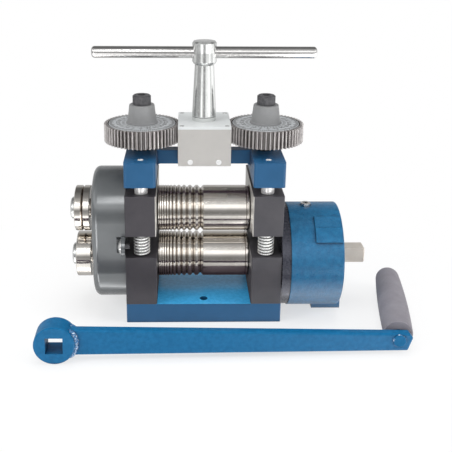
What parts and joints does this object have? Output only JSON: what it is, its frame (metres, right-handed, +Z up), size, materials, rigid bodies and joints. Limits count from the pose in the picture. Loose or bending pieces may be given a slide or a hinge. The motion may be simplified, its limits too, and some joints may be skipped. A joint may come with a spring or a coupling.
{
  "type": "jewellers rolling mill",
  "caption": "Hand-cranked bench rolling mill with grooved and flat rolls, geared screw-down under a T-handle, side gearbox, and a loose crank lying in front.",
  "frame": {"origin": "centre of the base's underside", "axes": "+Z up, +X along the rolls towards the gearbox, -Y towards the user"},
  "size_m": [0.4124, 0.2018, 0.3073],
  "materials": {
    "blue_paint": "glossy blue enamel",
    "bright_blue_paint": "glossy lighter blue enamel",
    "charcoal_paint": "satin charcoal",
    "cover_grey_paint": "satin dark grey",
    "black_oxide_steel": "black oxide",
    "bright_screw_steel": "bright turned",
    "bearing_bronze": "machined bronze",
    "pillar_steel": "ground",
    "spring_steel": "bright zinc plated",
    "ground_aluminium": "fine ground",
    "turned_steel": "bright turned",
    "gear_steel": "machined, lightly oiled",
    "roll_steel": "polished hardened steel",
    "dial_aluminium": "satin, engraved",
    "cone_aluminium": "matte blasted",
    "drive_steel": "plain machined",
    "grip_plastic": "matte"
  },
  "bodies": {
    "frame": {"base": "blue_paint", "base_screws": "black_oxide_steel", "left_lower_chock": "charcoal_paint", "right_lower_chock": "charcoal_paint", "lower_roll_bushes": "bearing_bronze", "guide_pillars": "pillar_steel", "lift_springs": "spring_steel", "yoke": "blue_paint", "yoke_screws": "blue_paint", "pinion_housing": "ground_aluminium", "housing_cap": "ground_aluminium", "housing_screws": "bright_screw_steel", "spindle_bush": "turned_steel", "cover_back_plate": "cover_grey_paint", "back_plate_screws": "black_oxide_steel", "roll_gear_cover": "cover_grey_paint", "cover_screws": "black_oxide_steel", "gearbox_flange": "charcoal_paint", "flange_screws": "black_oxide_steel", "gearbox_housing": "bright_blue_paint", "gearbox_screws": "black_oxide_steel", "ring_gear": "gear_steel", "drive_bush": "bearing_bronze", "oil_plug": "bright_screw_steel"},
    "upper_carriage": {"left_upper_chock": "charcoal_paint", "right_upper_chock": "charcoal_paint", "upper_roll_bushes": "bearing_bronze"},
    "tee_handle": {"pinion_spindle": "gear_steel", "tee_column": "turned_steel", "tee_hub": "turned_steel", "tee_bar": "turned_steel"},
    "left_screw": {"left_screw_spindle": "pillar_steel", "left_screw_gear": "gear_steel", "left_dial": "dial_aluminium", "left_cone_boss": "cone_aluminium", "left_cap_screw": "black_oxide_steel"},
    "right_screw": {"right_screw_spindle": "pillar_steel", "right_screw_gear": "gear_steel", "right_dial": "dial_aluminium", "right_cone_boss": "cone_aluminium", "right_cap_screw": "black_oxide_steel"},
    "upper_roll": {"upper_roll": "roll_steel", "upper_roll_gear": "gear_steel", "upper_extension_roll": "roll_steel", "upper_end_bolt": "turned_steel"},
    "lower_roll": {"lower_roll": "roll_steel", "lower_roll_gear": "gear_steel", "lower_extension_roll": "roll_steel", "lower_end_bolt": "turned_steel", "planet_carrier": "gear_steel"},
    "planet_1": {"planet_gear_1": "gear_steel"},
    "planet_2": {"planet_gear_2": "gear_steel"},
    "planet_3": {"planet_gear_3": "gear_steel"},
    "drive_shaft": {"drive_shaft": "drive_steel"},
    "crank": {"crank_hub": "bright_blue_paint", "crank_arm": "bright_blue_paint", "grip_spindle": "bright_blue_paint"},
    "grip": {"crank_grip": "grip_plastic"}
  },
  "joints": [
    {"name": "upper_carriage_slide", "type": "slide", "parent": "frame", "child": "upper_carriage", "axis": [0, 0, 1], "range_m": [-0.0045, 0], "stiffness_N_per_m": 6000, "springref_m": 0.0135, "deforming": ["lift_springs"]},
    {"name": "tee_handle_turn", "type": "hinge", "parent": "frame", "child": "tee_handle", "pos_m": [0, 0, 0.2941], "axis": [0, 0, 1], "range_deg": [-1118.8, 0]},
    {"name": "left_screw_turn", "type": "hinge", "parent": "upper_carriage", "child": "left_screw", "pos_m": [-0.0682, 0, 0.2], "axis": [0, 0, 1], "range_deg": [0, 765.6]},
    {"name": "right_screw_turn", "type": "hinge", "parent": "upper_carriage", "child": "right_screw", "pos_m": [0.0682, 0, 0.2], "axis": [0, 0, 1], "range_deg": [0, 765.6]},
    {"name": "lower_roll_turn", "type": "hinge", "parent": "frame", "child": "lower_roll", "pos_m": [0, 0, 0.0594], "axis": [1, 0, 0], "continuous": true},
    {"name": "upper_roll_turn", "type": "hinge", "parent": "upper_carriage", "child": "upper_roll", "pos_m": [0, 0, 0.1158], "axis": [1, 0, 0], "continuous": true},
    {"name": "planet_1_turn", "type": "hinge", "parent": "lower_roll", "child": "planet_1", "pos_m": [0.1133, 0, 0.0864], "axis": [1, 0, 0], "continuous": true},
    {"name": "planet_2_turn", "type": "hinge", "parent": "lower_roll", "child": "planet_2", "pos_m": [0.1133, -0.02338, 0.0459], "axis": [1, 0, 0], "continuous": true},
    {"name": "planet_3_turn", "type": "hinge", "parent": "lower_roll", "child": "planet_3", "pos_m": [0.1133, 0.02338, 0.0459], "axis": [1, 0, 0], "continuous": true},
    {"name": "drive_shaft_turn", "type": "hinge", "parent": "frame", "child": "drive_shaft", "pos_m": [0.1541, 0, 0.0594], "axis": [1, 0, 0], "continuous": true},
    {"name": "crank_lift", "type": "slide", "parent": "frame", "child": "crank", "axis": [0, 0, 1], "range_m": [0, 0.05]},
    {"name": "grip_turn", "type": "hinge", "parent": "crank", "child": "grip", "pos_m": [0.20176, -0.11832, 0.0162], "axis": [0.165, 0.9863, -0.004], "continuous": true}
  ],
  "couplings": [
    {"joint": "tee_handle_turn", "follows": "upper_carriage_slide", "rad_per_m": 4338.5},
    {"joint": "left_screw_turn", "follows": "upper_carriage_slide", "rad_per_m": -2968.4},
    {"joint": "right_screw_turn", "follows": "upper_carriage_slide", "rad_per_m": -2968.4},
    {"joint": "upper_roll_turn", "follows": "lower_roll_turn", "ratio": -1},
    {"joint": "planet_1_turn", "follows": "lower_roll_turn", "ratio": -3},
    {"joint": "planet_2_turn", "follows": "lower_roll_turn", "ratio": -3},
    {"joint": "planet_3_turn", "follows": "lower_roll_turn", "ratio": -3},
    {"joint": "drive_shaft_turn", "follows": "lower_roll_turn", "ratio": 4}
  ]
}
